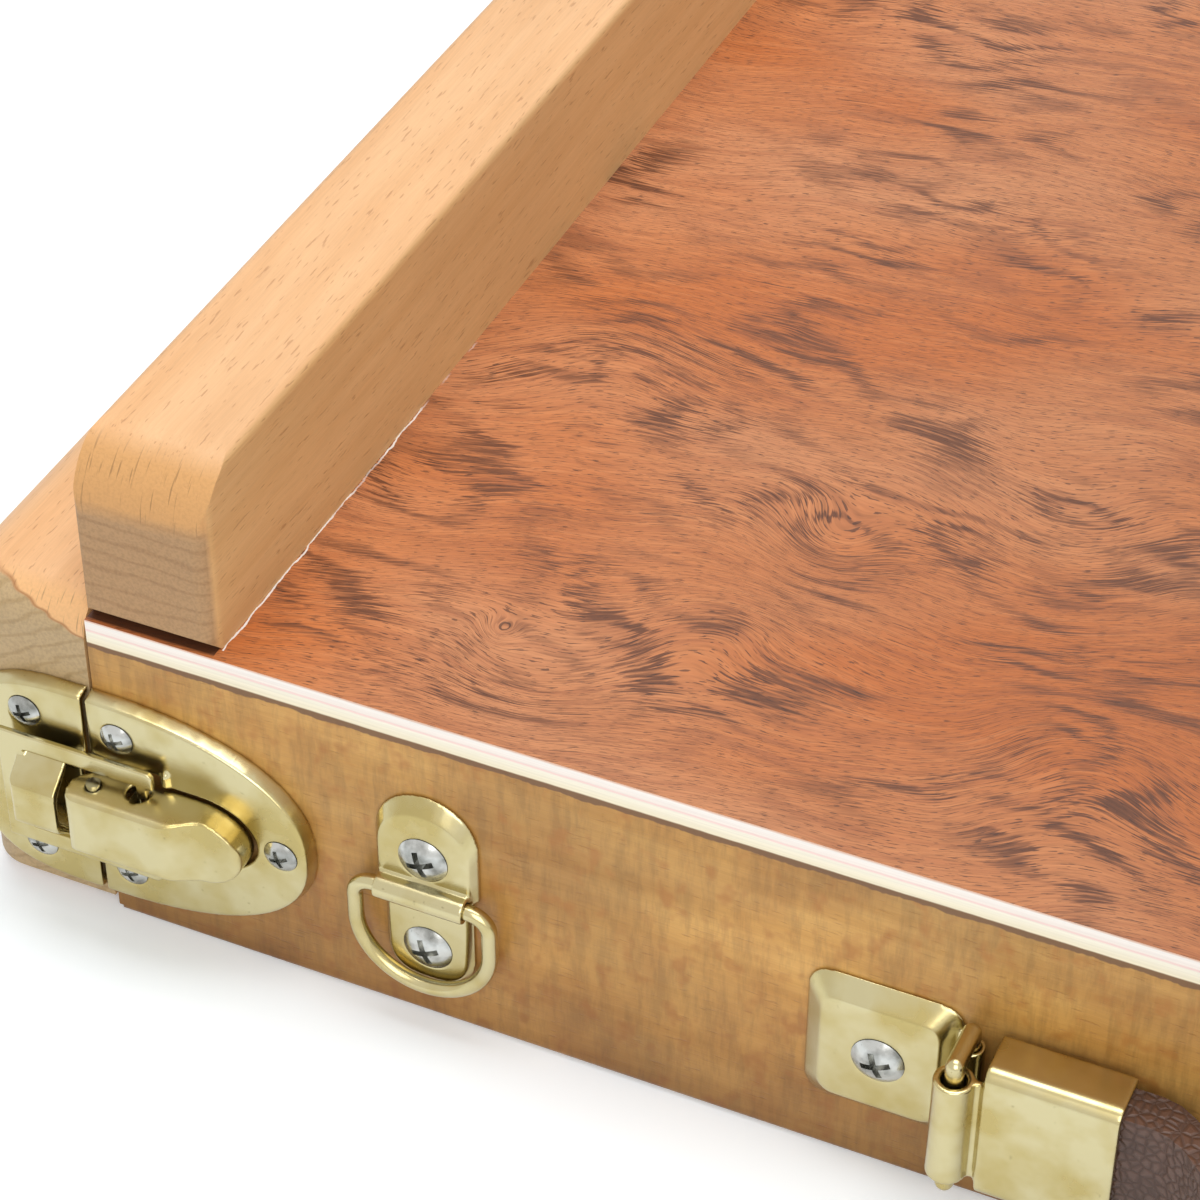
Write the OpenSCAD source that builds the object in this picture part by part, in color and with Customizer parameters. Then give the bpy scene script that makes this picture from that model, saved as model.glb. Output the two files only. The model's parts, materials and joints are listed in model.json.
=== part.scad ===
// Wooden art supply box: a shallow case with a veneered working panel, a full-width
// drawer whose face closes the left end, draw latches, strap rings and a carrying handle.

/* [Case] */
// Length of the case behind the drawer face
case_l = 306; // [290:1:420]
// Depth of the case from front to back
case_d = 255; // [200:1:360]
// Height of the case sides
case_h = 40; // [36:0.5:60]
// Thickness of the case sides and end
side_t = 12; // [9:0.5:16]
// Thickness of the bottom panel, set flush in rebates
bottom_t = 3; // [2.5:0.1:4]
// Width of the rebate that takes the bottom panel
rebate_w = 6; // [3:0.5:7]
// Thickness of the plywood core of the top panel
core_t = 2.57; // [2:0.01:5]
// Thickness of the figured veneer on the top panel
veneer_t = 0.6; // [0.5:0.1:1.5]
// Rounding of the lower long edges of the case
case_edge_r = 1; // [0.5:0.1:2]

/* [Batten] */
// Width of the batten across the panel
batten_w = 15.6; // [12:0.1:22]
// Height of the batten above the panel
batten_h = 22.6; // [12:0.1:30]
// Distance from the case edges to the batten ends
batten_inset = 0.4; // [0.2:0.1:6]
// Distance from the drawer face to the batten
batten_gap = 0.5; // [0.4:0.1:4]
// Rounding of the upper end corners of the batten
batten_end_r = 8; // [3:0.5:10]
// Bevel under each end of the batten
batten_undercut = 1.5; // [0.5:0.1:2.5]
// Rounding of the upright corners of the batten on the panel's side
batten_corner_r = 1.9; // [1:0.1:4]
// Easing of the upright corners of the batten on the drawer's side
batten_back_r = 0.6; // [0.3:0.1:2]
// Easing of the long upper edges of the batten
batten_edge_r = 1.2; // [0.5:0.1:3]

/* [Drawer] */
// Thickness of the drawer face
face_t = 17.5; // [14:0.1:22]
// Height of the underside of the drawer face above the table
face_lift = 2.2; // [1:0.1:4]
// Rise of the drawer face above the working panel
face_rise = 1.6; // [0:0.1:4]
// Rounding of the upright outer corners of the drawer face
face_corner_r = 5.5; // [2:0.1:8]
// Rounding of the upper outer edge of the drawer face
face_top_r = 4.6; // [2:0.1:8]
// Rounding of the upper edges of the drawer face's two ends
face_end_r = 5; // [2:0.1:8]
// Easing of the upper inner edge of the drawer face
face_inner_r = 1; // [0.5:0.1:2]
// Easing of the lower outer edge of the drawer face
face_foot_r = 1.5; // [0.5:0.1:3]
// Gap between the drawer face and the case
split_gap = 0.4; // [0.3:0.05:1]
// Thickness of the drawer sides and back
drawer_t = 7; // [5:0.5:9]
// Thickness of the drawer bottom
drawer_bottom_t = 3; // [2.5:0.1:4]
// Height of the drawer bottom above the drawer sides' lower edges
drawer_bottom_up = 2; // [1.5:0.1:5]
// Depth of the grooves that hold the drawer bottom
groove_d = 3; // [2:0.1:4]
// Gap between each drawer side and the case side
drawer_side_gap = 0.8; // [0.4:0.1:2]
// Gap between the drawer back and the case end
drawer_end_gap = 6; // [2:0.5:12]
// Thickness of the dividers in the drawer
divider_t = 4; // [3:0.5:6]
// Width of the brush bay at the front of the drawer
brush_bay_w = 65; // [40:1:90]
// Number of bays behind the brush bay
bay_count = 3; // [2:1:4]
// Gap between the dividers' tops and the drawer sides' tops
divider_drop = 2.4; // [1:0.1:6]

/* [Runners and stops] */
// Width of each drawer runner
runner_w = 9; // [7:0.5:14]
// Height of each drawer runner
runner_h = 2; // [1.5:0.1:4]
// Running gap under and over the drawer
run_gap = 0.4; // [0.3:0.05:0.8]
// Width of the rails under the working panel
rail_w = 12; // [8:0.5:20]
// Height of the rails under the working panel
rail_h = 6; // [4:0.1:7]
// Distance from the drawer mouth to the first rail
mouth_rail_x = 2; // [1:0.5:6]
// Distance from the drawer mouth to the rail that stops the drawer
stop_rail_x = 50; // [30:1:80]

/* [Latches] */
// Height of the latch centre above the table
latch_z = 19.2; // [18:0.1:30]
// Half height of both latch plates
latch_half_h = 14.6; // [13.5:0.1:16]
// Length of the latch's case plate
base_plate_l = 26.6; // [25:0.1:32]
// Length of the latch's catch plate on the drawer face
catch_plate_l = 15.9; // [13:0.1:16]
// Gap from the split to the catch plate
catch_inset = 0.6; // [0.4:0.1:1.2]
// Height of the pressed rim of the latch plates
plate_rise = 2; // [1.6:0.1:3]
// Width of the sloping rim of the latch plates
rim_w = 0.5; // [0.4:0.1:1.4]
// Thickness of the pressed brass sheet
sheet_t = 0.8; // [0.6:0.05:1]
// Width of the latch lever
lever_w = 9.3; // [8.5:0.1:9.6]
// Length of the latch lever to the right of its pin
lever_reach = 18.1; // [15:0.1:18.2]
// Length of the latch lever to the left of its pin
lever_tail = 2.7; // [2.2:0.1:2.8]
// Radius of the lever pin
pin_r = 0.8; // [0.6:0.05:0.9]
// Distance of the lever pin from the split
lever_pin_x = 1.6; // [1.4:0.1:2.2]
// Distance of the lever pin from the case side
lever_pin_out = 4.4; // [4.2:0.1:5]
// Distance between the lever pin and the link's pivot along the case
pivot_dx = 5.2; // [4.8:0.1:6]
// Height of the link's pivot below the lever pin
pivot_drop = 0.9; // [0.5:0.1:1]
// Radius of the holes in the lever that take the link's lugs
pivot_r = 1.35; // [1.1:0.05:1.4]
// Width over the arms of the latch link
link_w = 15.8; // [14.5:0.1:16]
// Width of each arm of the latch link
link_arm_w = 2.2; // [1.8:0.1:2.5]
// Width of the claw block of the latch link at its foot
claw_w = 11.2; // [10:0.1:11.5]
// Running clearance between pivots and what turns on them
pin_gap = 0.07; // [0.03:0.01:0.1]
// Clearance between neighbouring moving latch pieces
move_gap = 0.35; // [0.3:0.05:0.4]
// Distance of the paired latch screws from the latch centre
latch_screw_dy = 9.8; // [9.6:0.1:10.2]
// Distance of the case plate's paired screws from the split
base_screw_x = 3.6; // [3:0.1:4]
// Distance of the case plate's single screw from the plate's tip
tip_screw_in = 3.6; // [3.5:0.1:4]
// Distance of the catch plate's screws from the split
catch_screw_x = 8; // [7.8:0.1:9]

/* [Strap rings] */
// Distance from the split to the first strap ring
ring_x = 40.1; // [38:0.1:60]
// Height of the strap rings' hinge above the table
ring_z = 20.2; // [18:0.1:30]
// Width of the strap ring bracket
bracket_w = 12.2; // [10:0.1:13.5]
// Height of the bracket's upper tab above the hinge
tab_up = 12.8; // [12:0.1:16]
// Length of the bracket's lower tab below the hinge
tab_down = 13.8; // [12:0.1:15]
// Height of the pressed upper tab of the bracket
tab_rise = 1.5; // [1.2:0.1:1.6]
// Height of the pressed lower tab of the bracket
low_tab_rise = 1.2; // [1:0.1:1.4]
// Distance of the bracket's upper screw from the hinge
up_screw_dy = 4.8; // [4.7:0.1:6]
// Distance of the bracket's lower screw from the hinge
low_screw_dy = 8.5; // [6.4:0.1:9]
// Thickness of the sheet rolled round the ring's hinge bar
roll_t = 0.5; // [0.4:0.05:0.6]
// Wire radius of the strap ring
ring_wire_r = 0.9; // [0.7:0.05:1.1]
// Outer width of the strap ring
ring_outer_w = 17.8; // [17.4:0.1:20]
// Bend radius at both ends of the strap ring's hinge bar
ring_bend_r = 2.3; // [1.2:0.1:2.4]
// Distance from the hinge to the bottom of the strap ring
ring_drop = 14.2; // [13:0.1:16]
// Distance from the hinge of the strap ring to the case side
ring_out = 2.2; // [2:0.1:3]

/* [Handle] */
// Distance from the split to the centre of the handle
handle_x = 153; // [145:1:200]
// Distance between the centres of the handle plates
handle_span = 122.4; // [110:0.2:180]
// Height of the handle centre above the table
handle_z = 17.7; // [17:0.1:30]
// Width of each handle plate
hplate_w = 17; // [14:0.1:20]
// Height of each handle plate
hplate_h = 18.2; // [16:0.1:22]
// Width of the sloping rim of each handle plate
hplate_rim = 2.2; // [1.2:0.1:2.6]
// Radius of the wire links between the plates and the handle
link_wire_r = 1; // [0.9:0.05:1.2]
// Distance between the two upright bars of a wire link
wire_link_out = 4.9; // [4.6:0.1:6]
// Height of a wire link over its bar centres
wire_link_h = 17; // [15:0.1:20]
// Distance of a wire link's inner bar from the case side
link_bar_out = 2.1; // [2:0.1:2.6]
// Height of the handle grip
grip_h = 18; // [15:0.1:22]
// Thickness of the handle grip
grip_t = 6; // [5:0.1:8]
// Stand-off of the middle of the grip from its ends
grip_arch = 17; // [14:0.5:26]
// Length of each brass end of the handle
ferrule_l = 14; // [10:0.5:18]

/* [Screws] */
// Head radius of the small latch screws
small_head_r = 2; // [1.6:0.05:2.1]
// Shank radius of the small latch screws
small_shank_r = 1.05; // [0.8:0.05:1.2]
// Head radius of the bracket and handle screws
big_head_r = 2.9; // [2.4:0.05:3]
// Shank radius of the bracket and handle screws
big_shank_r = 1.5; // [1.2:0.05:1.6]
// Length of the screws in the wood
screw_l = 9; // [6:0.5:10]
// Radial gap round the screws
screw_gap = 0.05; // [0.03:0.01:0.1]

/* [Hidden] */

$fn = 48;
cut = 1;             // how far cutters run past what they cut
panel_t = core_t + veneer_t;
panel_top = case_h + panel_t;
face_top = panel_top + face_rise;
inner_d = case_d - 2 * side_t;
drawer_z0 = bottom_t + runner_h + run_gap;
drawer_top = case_h - rail_h - run_gap;
drawer_y0 = side_t + drawer_side_gap;
drawer_y1 = case_d - side_t - drawer_side_gap;
drawer_x1 = case_l - side_t - drawer_end_gap;
floor_z0 = drawer_z0 + drawer_bottom_up;
floor_z1 = floor_z0 + drawer_bottom_t;
divider_top = drawer_top - divider_drop;
drawer_travel = drawer_x1 - drawer_t - stop_rail_x - rail_w - run_gap;
right_ring_x = 2 * handle_x - ring_x;
base_pilots = [[base_screw_x, latch_screw_dy], [base_screw_x, -latch_screw_dy],
    [base_plate_l - tip_screw_in, 0]];
catch_pilots = [[-catch_screw_x, latch_screw_dy], [-catch_screw_x, -latch_screw_dy]];
tab_pilots = [[0, up_screw_dy], [0, -low_screw_dy]];
link_bar_x = hplate_w / 2 + 1.1;

// ---- placing ---------------------------------------------------------------

// The whole box stands on its bottom face, centred on the origin
module boxed() {
    translate([-case_l / 2, -case_d / 2, 0]) children();
}

// Draws children flat (x along the case, y up, z outwards) on the front side
module on_front(x, z) {
    boxed() translate([x, 0, z]) rotate([90, 0, 0]) children();
}

// The same on the back side, mirrored front to back
module on_back(x, z) {
    boxed() translate([x, case_d, z]) mirror([0, 1, 0]) rotate([90, 0, 0]) children();
}

module on_side(back, x, z) {
    if (back) on_back(x, z) children();
    else on_front(x, z) children();
}

// ---- shared shapes ---------------------------------------------------------

// Waste outside a quarter round along +Z, with the corner of the work at the origin
module edge_waste(r, l) {
    difference() {
        translate([-cut, -cut, -cut]) cube([r + cut, r + cut, l + 2 * cut]);
        translate([r, r, -2 * cut]) cylinder(r = r, h = l + 4 * cut);
    }
}

// The same along +Y, body towards +X and +Z
module edge_waste_y(r, l) {
    translate([0, l, 0]) rotate([90, 0, 0]) edge_waste(r, l);
}

// The same along +X, body towards +Y and +Z
module edge_waste_x(r, l) {
    rotate([90, 0, 90]) edge_waste(r, l);
}

// Closed outline from the split outwards, fuller than an oval as the power rises
function half_oval(a, b, power) = [for (i = [-16:16]) let (t = i * 90 / 16)
    [a * pow(abs(cos(t)), 2 / power), b * sign(t) * pow(abs(sin(t)), 2 / power)]];

// Pressed plate with a sloping rim, hollow behind
module pressed(points_low, points_high, inner_low, inner_high, rise) {
    difference() {
        hull() {
            linear_extrude(0.3) polygon(points_low);
            translate([0, 0, rise - 0.2]) linear_extrude(0.2) polygon(points_high);
        }
        hull() {
            translate([0, 0, -cut]) linear_extrude(cut) polygon(inner_low);
            translate([0, 0, rise - sheet_t - 0.2]) linear_extrude(0.2) polygon(inner_high);
        }
    }
}

// Countersunk seat for a screw head in a plate whose face lies at z
module screw_seat(head_r, shank_r, z) {
    translate([0, 0, z - sheet_t - cut]) cylinder(r = shank_r + screw_gap, h = sheet_t + 2 * cut);
    translate([0, 0, z - sheet_t])
        cylinder(r1 = shank_r + screw_gap, r2 = head_r + screw_gap, h = sheet_t);
    translate([0, 0, z]) cylinder(r = head_r + screw_gap, h = cut);
}

// Oval-head cross-recess wood screw whose countersink is seated at z
module screw(head_r, shank_r, z) {
    dome = head_r * 0.36;
    dome_r = (head_r * head_r + dome * dome) / (2 * dome);
    color("silver") difference() {
        union() {
            translate([0, 0, z - sheet_t]) cylinder(r1 = shank_r, r2 = head_r, h = sheet_t);
            intersection() {
                translate([0, 0, z]) cylinder(r = head_r, h = dome + cut);
                translate([0, 0, z + dome - dome_r]) sphere(r = dome_r);
            }
            translate([0, 0, -screw_l + shank_r]) cylinder(r = shank_r, h = screw_l + z - sheet_t - shank_r);
            translate([0, 0, -screw_l]) cylinder(r1 = 0.2, r2 = shank_r, h = shank_r);
        }
        for (turn = [20, 110]) translate([0, 0, z + dome]) rotate(turn)
            cube([head_r * 1.15, head_r * 0.24, 2 * dome], center = true);
    }
}

// Pilot holes for the screws at the listed places
module pilots(places, shank_r) {
    for (p = places) translate([p[0], p[1], -screw_l - 0.3])
        cylinder(r = shank_r + screw_gap, h = screw_l + 0.3 + cut);
}

// ---- case ------------------------------------------------------------------

module side_blank() {
    difference() {
        cube([case_l, side_t, case_h]);
        edge_waste_x(case_edge_r, case_l);
        edge_waste(case_edge_r, 0.001);
        translate([-cut, side_t - rebate_w, -cut])
            cube([case_l - side_t + rebate_w + cut, rebate_w + cut, bottom_t + cut]);
    }
}

module front_side() {
    color("burlywood") difference() {
        boxed() side_blank();
        on_front(0, latch_z) pilots(base_pilots, small_shank_r);
        for (x = [ring_x, right_ring_x]) on_front(x, ring_z)
            pilots(tab_pilots, big_shank_r);
        on_front(handle_x, handle_z)
            pilots([[-handle_span / 2, 0], [handle_span / 2, 0]], big_shank_r);
    }
}

module back_side() {
    color("burlywood") difference() {
        boxed() translate([0, case_d, 0]) mirror([0, 1, 0]) side_blank();
        on_back(0, latch_z) pilots(base_pilots, small_shank_r);
    }
}

module end_rail() {
    color("burlywood") boxed() translate([case_l - side_t, side_t, 0]) difference() {
        cube([side_t, inner_d, case_h]);
        translate([-cut, -cut, -cut]) cube([rebate_w + cut, inner_d + 2 * cut, bottom_t + cut]);
    }
}

module bottom_panel() {
    color("wheat") boxed() translate([0, side_t - rebate_w, 0])
        cube([case_l - side_t + rebate_w, inner_d + 2 * rebate_w, bottom_t]);
}

module top_panel() {
    color("cornsilk") boxed() translate([0, 0, case_h]) cube([case_l, case_d, core_t]);
}

module top_veneer() {
    color("sienna") boxed() translate([0, 0, case_h + core_t]) cube([case_l, case_d, veneer_t]);
}

module batten() {
    l = case_d - 2 * batten_inset;
    color("peru") boxed() translate([batten_gap - split_gap, batten_inset, panel_top]) difference() {
        cube([batten_w, l, batten_h]);
        for (side = [0, 1]) translate([side * batten_w, 0, 0]) mirror([side, 0, 0])
            translate([0, 0, batten_h]) mirror([0, 0, 1]) edge_waste_y(batten_edge_r, l);
        for (end = [0, 1]) translate([0, end * l, 0]) mirror([0, end, 0]) {
            edge_waste(batten_back_r, batten_h);
            translate([batten_w, 0, 0]) mirror([1, 0, 0]) edge_waste(batten_corner_r, batten_h);
            translate([0, 0, batten_h]) mirror([0, 0, 1]) edge_waste_x(batten_end_r, batten_w);
            translate([-cut, 0, 0]) rotate([90, 0, 90]) linear_extrude(batten_w + 2 * cut)
                polygon([[-cut, -cut], [batten_undercut + cut, -cut], [-cut, batten_undercut + cut]]);
        }
    }
}

module cross_rail(x) {
    color("burlywood") boxed() translate([x, side_t, case_h - rail_h]) cube([rail_w, inner_d, rail_h]);
}

module mouth_rail() {
    cross_rail(mouth_rail_x);
}

module stop_rail() {
    cross_rail(stop_rail_x);
}

module runners() {
    for (y = [side_t, case_d - side_t - runner_w])
        color("burlywood") boxed() translate([0, y, bottom_t])
            cube([case_l - side_t, runner_w, runner_h]);
}

// ---- drawer ----------------------------------------------------------------

module drawer_front() {
    h = face_top - face_lift;
    color("peru") difference() {
        boxed() translate([-split_gap - face_t, 0, face_lift]) difference() {
            cube([face_t, case_d, h]);
            for (end = [0, 1]) translate([0, end * case_d, 0]) mirror([0, end, 0]) {
                edge_waste(face_corner_r, h);
                translate([0, 0, h]) mirror([0, 0, 1]) edge_waste_x(face_end_r, face_t);
            }
            translate([0, 0, h]) mirror([0, 0, 1]) edge_waste_y(face_top_r, case_d);
            translate([face_t, 0, h]) mirror([0, 0, 1]) mirror([1, 0, 0])
                edge_waste_y(face_inner_r, case_d);
            edge_waste_y(face_foot_r, case_d);
            translate([face_t - groove_d, drawer_y0 + drawer_t - groove_d, floor_z0 - face_lift])
                cube([groove_d + cut, drawer_y1 - drawer_y0 - 2 * (drawer_t - groove_d),
                    drawer_bottom_t]);
        }
        for (back = [false, true]) on_side(back, 0, latch_z) pilots(catch_pilots, small_shank_r);
    }
}

// Front drawer side, with the groove for the drawer bottom on its inner face
module drawer_side() {
    color("wheat") translate([-split_gap, drawer_y0, drawer_z0]) difference() {
        cube([drawer_x1 + split_gap, drawer_t, drawer_top - drawer_z0]);
        translate([-cut, drawer_t - groove_d, drawer_bottom_up])
            cube([drawer_x1 + split_gap - drawer_t + groove_d + cut, groove_d + cut,
                drawer_bottom_t]);
    }
}

module drawer_side_front() {
    boxed() drawer_side();
}

module drawer_side_back() {
    boxed() translate([0, case_d, 0]) mirror([0, 1, 0]) drawer_side();
}

// The back stands higher than the sides, so that the stop rail holds the drawer
module drawer_back() {
    y0 = drawer_y0 + drawer_t;
    color("wheat") boxed() translate([drawer_x1 - drawer_t, y0, drawer_z0]) difference() {
        cube([drawer_t, drawer_y1 - drawer_t - y0, case_h - 2 * run_gap - drawer_z0]);
        translate([-cut, -cut, drawer_bottom_up])
            cube([groove_d + cut, inner_d, drawer_bottom_t]);
    }
}

module drawer_bottom() {
    y0 = drawer_y0 + drawer_t - groove_d;
    color("cornsilk") boxed() translate([-split_gap - groove_d, y0, floor_z0])
        cube([drawer_x1 - drawer_t + 2 * groove_d + split_gap, drawer_y1 - drawer_t + groove_d - y0,
            drawer_bottom_t]);
}

module long_divider() {
    color("wheat") boxed() translate([-split_gap, drawer_y0 + drawer_t + brush_bay_w, floor_z1])
        cube([drawer_x1 - drawer_t + split_gap, divider_t, divider_top - floor_z1]);
}

module cross_dividers() {
    y0 = drawer_y0 + drawer_t + brush_bay_w + divider_t;
    bay_l = (drawer_x1 - drawer_t + split_gap - (bay_count - 1) * divider_t) / bay_count;
    for (i = [1:bay_count - 1])
        color("wheat") boxed()
            translate([-split_gap + i * bay_l + (i - 1) * divider_t, y0, floor_z1])
            cube([divider_t, drawer_y1 - drawer_t - y0, divider_top - floor_z1]);
}

// ---- draw latch ------------------------------------------------------------
// Drawn flat: x from the split, y from the latch centre, z outwards

pivot_x = lever_pin_x + pivot_dx;
pivot_out = lever_pin_out - pivot_drop;
lug_r = lever_pin_out - plate_rise - move_gap;   // round end of the lever's side walls
lever_top = 7;                                   // outer face of the lever over its pin
pad_top = 5;                                     // outer face of the lever's finger pad
lever_foot = 1.5;                                // lower edges of the lever, down in its slot
lever_lean = 0.65;                               // how far the lever's sides lean in
lever_hollow = lever_w - 2 * (sheet_t + lever_lean) + 0.3;
slot_half = lever_w / 2 + move_gap;
arm_in = link_w / 2 - link_arm_w;                // inner edges of the link's arms
wide_slot_half = link_w / 2 - 1.6;
slot_step_x = pivot_x + 2.1;                     // where the slot in the case plate narrows
ear_y = lever_hollow / 2 - move_gap;             // outer faces of the ears
claw_x0 = -8.3;
claw_x1 = lever_pin_x - lever_tail - 1.3;
web_z = pivot_out - sheet_t / 2;                 // underside of the link's web and arms
claw_top = 6.6;
claw_lean = 2.7;                                 // how far the claw block's sides lean in

module latch_base() {
    color("gold") difference() {
        union() {
            difference() {
                pressed(half_oval(base_plate_l, latch_half_h, 2.3),
                    half_oval(base_plate_l - rim_w, latch_half_h - rim_w, 2.3),
                    half_oval(base_plate_l - sheet_t, latch_half_h - sheet_t, 2.3),
                    half_oval(base_plate_l - rim_w - sheet_t, latch_half_h - rim_w - sheet_t, 2.3),
                    plate_rise);
                translate([lever_pin_x, 0, -cut]) linear_extrude(plate_rise + 2 * cut)
                    lever_outline(2 * slot_half, lever_reach + move_gap + 0.1, lever_pin_x + cut);
                translate([-cut, -wide_slot_half, -cut])
                    cube([slot_step_x + cut, 2 * wide_slot_half, plate_rise + 2 * cut]);
            }
            for (side = [0, 1]) mirror([0, side, 0]) slot_bead();
            latch_ears();
        }
        for (p = base_pilots) translate(p) screw_seat(small_head_r, small_shank_r, plate_rise);
        translate([lever_pin_x, 0, lever_pin_out]) rotate([90, 0, 0])
            cylinder(r = pin_r + 0.02, h = lever_w, center = true);
    }
}

// Bead raised where the slot narrows
module slot_bead() {
    r = 0.5;
    y0 = slot_half + 0.15;
    translate([slot_step_x + r, y0, plate_rise]) {
        rotate([-90, 0, 0]) cylinder(r = r, h = wide_slot_half + 0.4 - y0);
        translate([0, wide_slot_half + 0.4 - y0, 0]) sphere(r = r);
    }
}

// Two ears bent up from a strip under the case plate, which carry the lever pin
module latch_ears() {
    leg_x = lever_pin_x + 0.3;
    leg_w = 3.2;
    foot_half = wide_slot_half + 1.1;
    translate([leg_x, -foot_half, 0]) cube([leg_w, 2 * foot_half, sheet_t]);
    for (side = [0, 1]) mirror([0, side, 0]) {
        translate([leg_x, foot_half - sheet_t, 0])
            cube([leg_w, sheet_t, plate_rise - sheet_t + 0.1]);
        translate([lever_pin_x, ear_y - sheet_t / 2, lever_pin_out]) rotate([90, 0, 0])
            cylinder(r = pin_r + 0.6, h = sheet_t, center = true);
        translate([0, ear_y - sheet_t / 2, 0]) side_extrude(sheet_t)
            polygon([[leg_x, 0], [leg_x + leg_w, 0], [leg_x + leg_w, lever_pin_out - 0.8],
                [lever_pin_x + pin_r + 0.4, lever_pin_out + 0.6], [leg_x, lever_pin_out]]);
    }
}

// The catch plate has a low pressed lip, which the claw of the link closes over, and a
// notch that clears the tail of the opening lever
module catch_plate() {
    color("gold") difference() {
        union() {
            difference() {
                translate([-catch_inset, 0, 0]) mirror([1, 0, 0])
                    pressed(half_oval(catch_plate_l, latch_half_h, 3.2),
                        half_oval(catch_plate_l - rim_w, latch_half_h - rim_w, 3.2),
                        half_oval(catch_plate_l - sheet_t, latch_half_h - sheet_t, 3.2),
                        half_oval(catch_plate_l - rim_w - sheet_t, latch_half_h - rim_w - sheet_t, 3.2),
                        plate_rise);
                translate([-catch_inset - 0.7, -slot_half, -cut])
                    cube([0.7 + cut, 2 * slot_half, plate_rise + 2 * cut]);
            }
            translate([claw_x0 + sheet_t + move_gap, -claw_w / 4, plate_rise - sheet_t])
                cube([sheet_t, claw_w / 2, sheet_t + web_z - plate_rise - move_gap]);
        }
        for (p = catch_pilots) translate(p) screw_seat(small_head_r, small_shank_r, plate_rise);
    }
}

// Side view of the lever: a crown over the pin that falls to a flat finger pad
module lever_profile() {
    left = -lever_tail;
    polygon(concat([[0, lever_foot], [left, lever_pin_out - 0.2], [left, lever_top - 1.2],
        [left + 0.35, lever_top - 0.35], [left + 1.2, lever_top]], lever_crown(0),
        [[lever_reach, lever_foot]]));
}

// Side view of its hollow, open below and at the left end
module lever_inside() {
    left = -lever_tail - cut;
    polygon(concat([[left, -cut], [left, lever_top - sheet_t]], lever_crown(sheet_t),
        [[lever_reach - sheet_t, -cut]]));
}

// Outer line of the lever from its crown to its tip, or the line one skin inside it
function lever_crown(skin) = let (top = lever_top - skin, pad = pad_top - skin,
        tip = lever_reach - skin, x0 = 9, x1 = 14)
    concat([for (i = [0:8]) let (k = i / 8)
        [x0 + (x1 - x0) * k, pad + (top - pad) * (1 + cos(180 * k)) / 2]],
        [[tip - 0.9, pad], [tip - 0.25, pad - 0.3], [tip, pad - 1]]);

// Upright extrusion of a side view drawn in x and z
module side_extrude(w) {
    rotate([90, 0, 0]) linear_extrude(w, center = true) children();
}

// Front view of the lever, with its rounded finger end
module lever_outline(w, reach, left) {
    turn_x = lever_reach - 6.5;
    polygon(concat([[-left, -w / 2]],
        [for (i = [0:16]) [turn_x + (reach - turn_x) * sin(i * 180 / 16), -w / 2 * cos(i * 180 / 16)]],
        [[-left, w / 2]]));
}

module latch_lever() {
    lean_angle = atan(lever_lean / (lever_top - 2.6));
    color("gold") translate([lever_pin_x, 0, 0]) difference() {
        intersection() {
            union() {
                side_extrude(lever_w) lever_profile();
                translate([0, 0, lever_pin_out]) rotate([90, 0, 0])
                    cylinder(r = lug_r, h = lever_w, center = true);
            }
            linear_extrude(lever_top + cut) lever_outline(lever_w, lever_reach, lever_tail);
        }
        intersection() {
            side_extrude(lever_hollow) lever_inside();
            translate([0, 0, -cut]) linear_extrude(lever_top + cut)
                lever_outline(lever_hollow, lever_reach - sheet_t, lever_tail + cut);
        }
        for (side = [0, 1]) mirror([0, side, 0]) {
            translate([-lever_tail - cut, lever_w / 2, 2.6]) rotate([lean_angle, 0, 0])
                cube([lever_tail + lever_reach + 2 * cut, 3, 6]);
            translate([-lever_tail - cut, lever_w / 2 - lever_lean, lever_top])
                mirror([0, 1, 0]) mirror([0, 0, 1]) edge_waste_x(0.5, 12 + lever_tail + cut);
        }
        translate([0, 0, lever_pin_out]) rotate([90, 0, 0])
            cylinder(r = pin_r + pin_gap, h = lever_w + cut, center = true);
        translate([pivot_dx, 0, lever_pin_out - pivot_drop]) rotate([90, 0, 0])
            cylinder(r = pivot_r, h = lever_w + cut, center = true);
    }
}

// Link: two flat arms with lugs bent into the lever's holes, a web, and the claw block
module latch_link() {
    arm_x0 = claw_x0 - 2.4;
    arm_x1 = pivot_x + 2;
    reach = sqrt(pow(pivot_r - pin_gap, 2) - pow(sheet_t / 2, 2));
    lug_y = lever_w / 2 - sheet_t;
    color("gold") difference() {
        union() {
            for (side = [0, 1]) mirror([0, side, 0]) translate([0, 0, web_z]) {
                linear_extrude(sheet_t) polygon([[arm_x0, arm_in], [arm_x1, arm_in],
                    [arm_x1, link_w / 2 - 0.5], [arm_x1 - 0.5, link_w / 2], [arm_x0, link_w / 2]]);
                translate([pivot_x - 0.1, lug_y, 0]) cube([reach + 0.1, arm_in + 0.5 - lug_y, sheet_t]);
            }
            translate([arm_x0, -link_w / 2, web_z])
                cube([claw_x0 + sheet_t - arm_x0, link_w, sheet_t]);
            translate([claw_x0, 0, web_z]) claw_block();
        }
        translate([claw_x0, 0, claw_top]) mirror([0, 0, 1]) translate([0, -link_w / 2, 0])
            edge_waste_y(1, link_w);
    }
}

// Cross-section of the claw block, and of its hollow at a positive skin
module claw_section(skin) {
    w = claw_w / 2 - skin;
    h = claw_top - web_z - skin;
    polygon([[w, skin > 0 ? -cut : 0], [w, 0.001], [w - claw_lean + 0.25, h - 0.6],
        [w - claw_lean - 0.2, h - 0.15], [w - claw_lean - 0.8, h],
        [-w + claw_lean + 0.8, h], [-w + claw_lean + 0.2, h - 0.15],
        [-w + claw_lean - 0.25, h - 0.6], [-w, 0.001], [-w, skin > 0 ? -cut : 0]]);
}

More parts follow.
